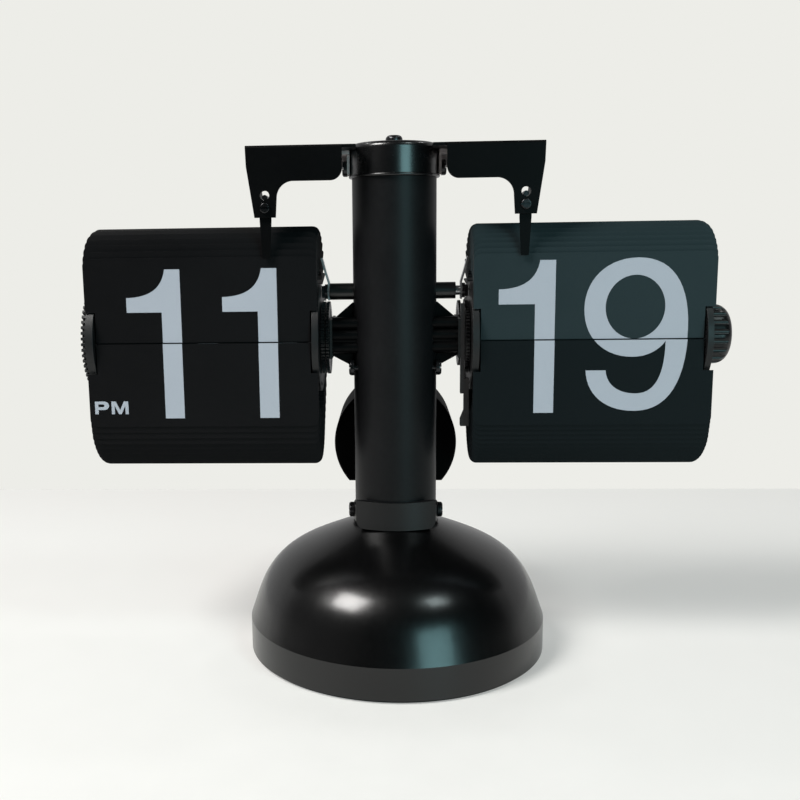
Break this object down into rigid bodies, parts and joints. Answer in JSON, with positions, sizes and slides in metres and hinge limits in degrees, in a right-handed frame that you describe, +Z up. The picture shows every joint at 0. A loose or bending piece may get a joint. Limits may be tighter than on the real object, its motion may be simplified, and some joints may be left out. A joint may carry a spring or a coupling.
{
  "type": "flip number clock",
  "caption": "Free-standing flip number clock: an hour drum and a minute drum of split flaps on each side of a round column with a domed base.",
  "frame": {"origin": "centre of the round base, on the surface that the clock stands on", "axes": "+X along the drums' axle towards the minute drum, -Y towards the viewer who reads the numbers, +Z up"},
  "size_m": [0.2138, 0.103, 0.1755],
  "materials": {
    "black_enamel": "satin",
    "black_plate": "matte",
    "black_screw": "satin",
    "zinc_steel": "satin",
    "bright_steel": "polished",
    "finger_black": "satin",
    "cast_iron": "rough",
    "rubber": "matte",
    "drum_plastic": "matte",
    "knob_plastic": "satin",
    "gear_plastic": "satin",
    "flap_plastic": "matte",
    "housing_plastic": "satin",
    "bay_plastic": "matte",
    "battery_wrap": "glossy",
    "motor_can": "satin",
    "board_green": "satin"
  },
  "bodies": {
    "frame": {"arm_brackets": "zinc_steel", "arm_left": "black_enamel", "arm_right": "black_enamel", "arm_rivets": "zinc_steel", "axle": "bright_steel", "axle_clip": "zinc_steel", "base_dome": "black_enamel", "base_plate": "black_plate", "base_weight": "cast_iron", "battery_box": "bay_plastic", "battery_cell": "battery_wrap", "battery_contacts": "zinc_steel", "boss_left": "black_enamel", "boss_right": "black_enamel", "boss_screws": "black_screw", "cap_side_screws": "black_screw", "cap_top_screw": "black_screw", "circuit_board": "board_green", "collar_screws": "black_screw", "column_cap": "black_enamel", "column_foot": "zinc_steel", "column_tube": "black_enamel", "detent_springs": "zinc_steel", "finger_blocks": "drum_plastic", "finger_left": "finger_black", "finger_pins": "bright_steel", "finger_right": "finger_black", "finger_screws": "black_screw", "foot_pads": "rubber", "gear_guard": "bay_plastic", "hour_flaps_lower": "flap_plastic", "hour_flaps_upper": "flap_plastic", "housing_front": "housing_plastic", "housing_rear": "housing_plastic", "housing_screws": "black_screw", "lower_collar": "black_enamel", "minute_flaps_lower": "flap_plastic", "minute_flaps_upper": "flap_plastic", "motor_body": "motor_can", "side_plate_left": "black_plate", "side_plate_right": "black_plate", "stay_rods": "zinc_steel", "tie_rod": "bright_steel", "tie_rod_nuts": "black_screw"},
    "minute_drum": {"minute_index_wheel": "gear_plastic", "minute_pinion": "gear_plastic", "minute_disc_inner": "drum_plastic", "minute_hub": "drum_plastic", "minute_disc_outer": "drum_plastic", "knob": "knob_plastic"},
    "hour_drum": {"hour_gear": "gear_plastic", "hour_disc_inner": "drum_plastic", "hour_hub": "drum_plastic", "hour_disc_outer": "drum_plastic"},
    "layshaft": {"layshaft": "bright_steel", "layshaft_wheel": "gear_plastic"},
    "motor_rotor": {"motor_shaft": "bright_steel"},
    "minute_flap": {"minute_fallen_flap": "flap_plastic"},
    "hour_flap": {"hour_fallen_flap": "flap_plastic"},
    "battery_door": {"battery_door": "bay_plastic"}
  },
  "joints": [
    {"name": "minute_drum_turn", "type": "hinge", "parent": "frame", "child": "minute_drum", "pos_m": [0, 0, 0.109], "axis": [1, 0, 0], "continuous": true},
    {"name": "hour_drum_turn", "type": "hinge", "parent": "frame", "child": "hour_drum", "pos_m": [0, 0, 0.109], "axis": [1, 0, 0], "continuous": true},
    {"name": "layshaft_turn", "type": "hinge", "parent": "frame", "child": "layshaft", "pos_m": [0, 0.014, 0.109], "axis": [1, 0, 0], "continuous": true},
    {"name": "motor_turn", "type": "hinge", "parent": "frame", "child": "motor_rotor", "pos_m": [0, 0, 0.1042], "axis": [1, 0, 0], "continuous": true},
    {"name": "minute_flap_fall", "type": "hinge", "parent": "frame", "child": "minute_flap", "pos_m": [0.06365, -0.0161, 0.1088], "axis": [-1, 0, 0], "range_deg": [0, 158]},
    {"name": "hour_flap_fall", "type": "hinge", "parent": "frame", "child": "hour_flap", "pos_m": [-0.06365, -0.0161, 0.1088], "axis": [-1, 0, 0], "range_deg": [0, 158]},
    {"name": "battery_door_slide", "type": "slide", "parent": "frame", "child": "battery_door", "axis": [0, 1, 0], "range_m": [0, 0.0075]}
  ],
  "couplings": [
    {"joint": "hour_drum_turn", "follows": "minute_drum_turn", "ratio": 0.041667},
    {"joint": "layshaft_turn", "follows": "minute_drum_turn", "ratio": -0.25},
    {"joint": "motor_turn", "follows": "minute_drum_turn", "ratio": -1.4}
  ]
}
